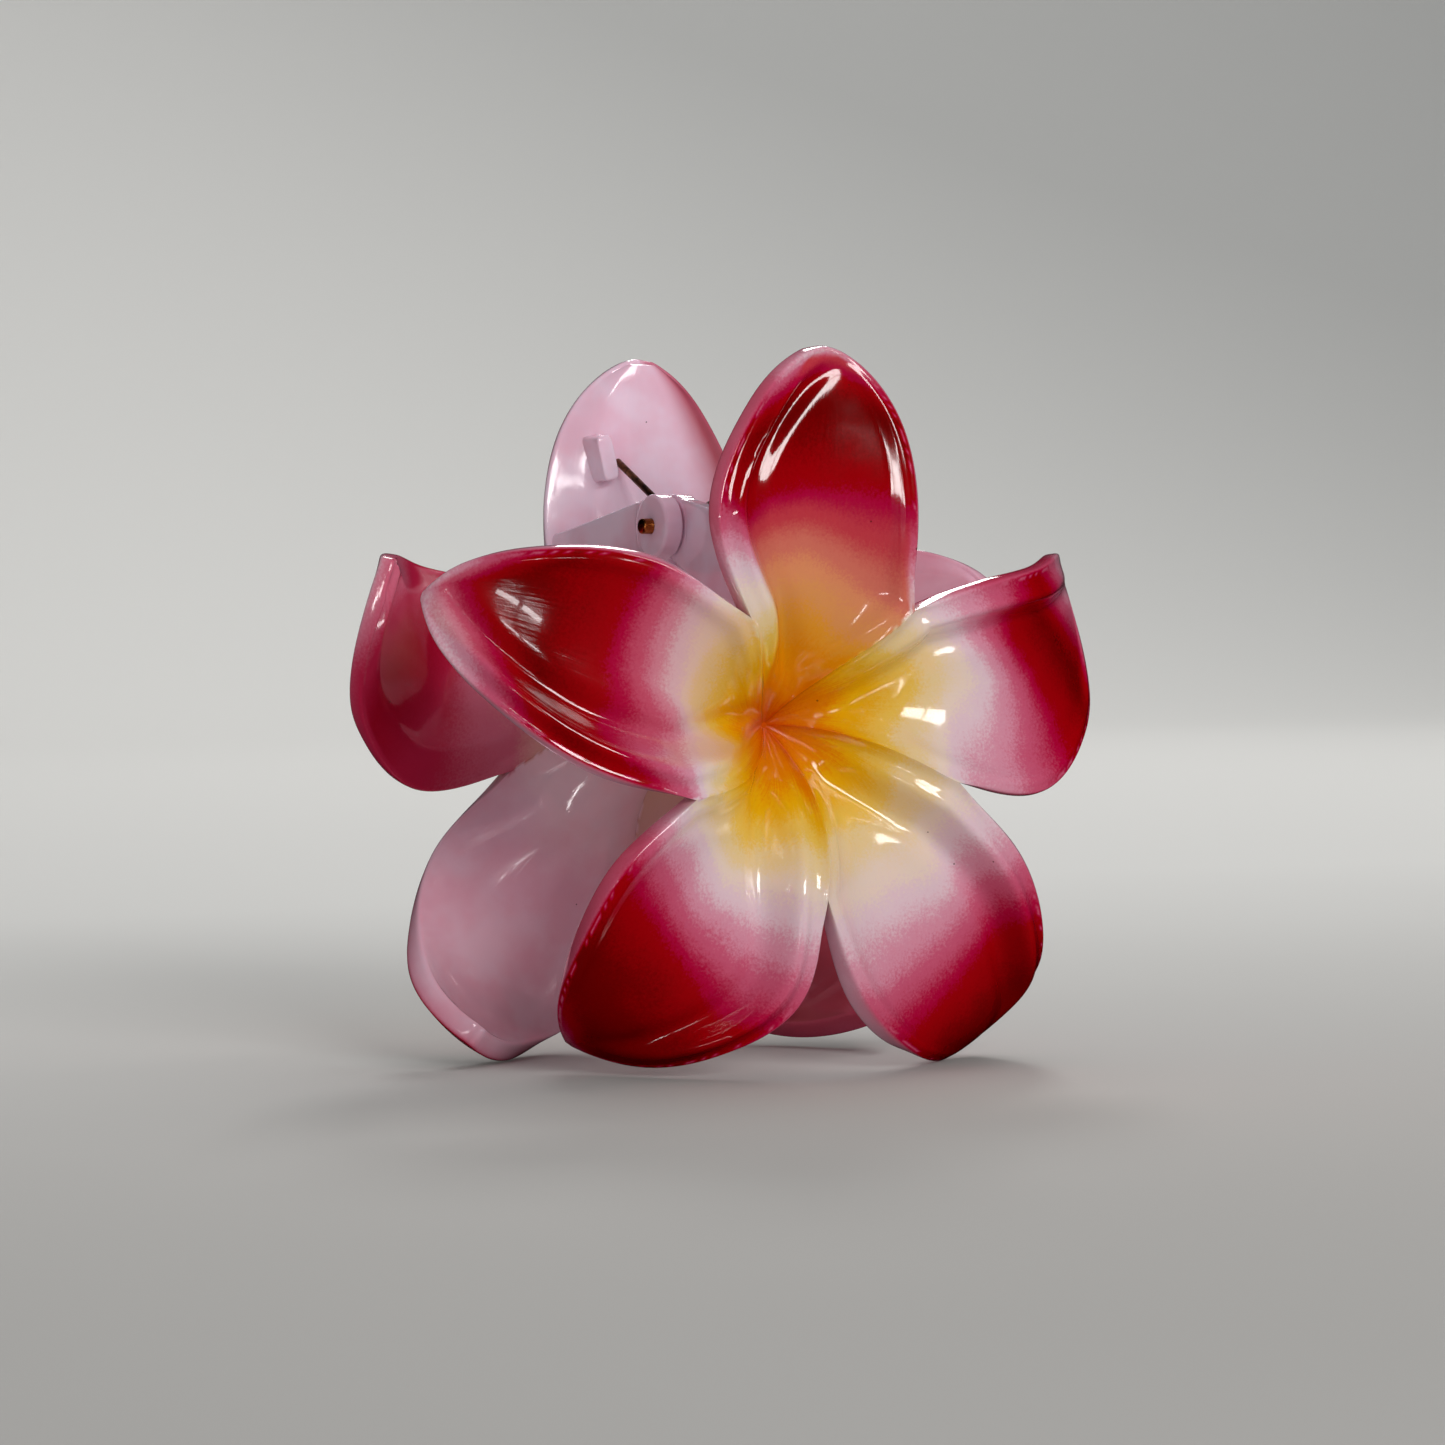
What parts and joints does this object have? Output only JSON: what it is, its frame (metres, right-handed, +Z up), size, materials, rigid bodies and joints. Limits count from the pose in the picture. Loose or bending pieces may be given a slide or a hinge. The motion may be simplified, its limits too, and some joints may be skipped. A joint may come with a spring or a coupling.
{
  "type": "flower hair claw clip",
  "caption": "Hair claw clip whose two sprung jaws are identical plumeria flowers in glossy plastic, hinged on a metal pin.",
  "frame": {"origin": "on the ground, midway between the two jaws, straight under the middle of the hinge pin", "axes": "+Z up from the claw tips to the finger petals, +X along the hinge pin, -Y out of the front flower"},
  "size_m": [0.077, 0.0472, 0.0735],
  "materials": {
    "painted_petal_plastic": "glossy milky acrylic, air-brushed from yellow through white to deep red on the outside, unpainted pink-white inside",
    "pin_brass": "bright drawn brass wire with cropped ends",
    "spring_wire": "dark bronzed spring steel wire"
  },
  "bodies": {
    "back_jaw": {"back_flower_jaw": "painted_petal_plastic", "hinge_pin": "pin_brass", "torsion_spring": "spring_wire"},
    "front_jaw": {"front_flower_jaw": "painted_petal_plastic"}
  },
  "joints": [
    {"name": "jaw_hinge", "type": "hinge", "parent": "back_jaw", "child": "front_jaw", "pos_m": [0, 0, 0.0558], "axis": [-1, 0, 0], "range_deg": [0, 60], "stiffness_Nm_per_rad": 0.15, "springref_deg": -28.65, "deforming": ["torsion_spring"]}
  ]
}
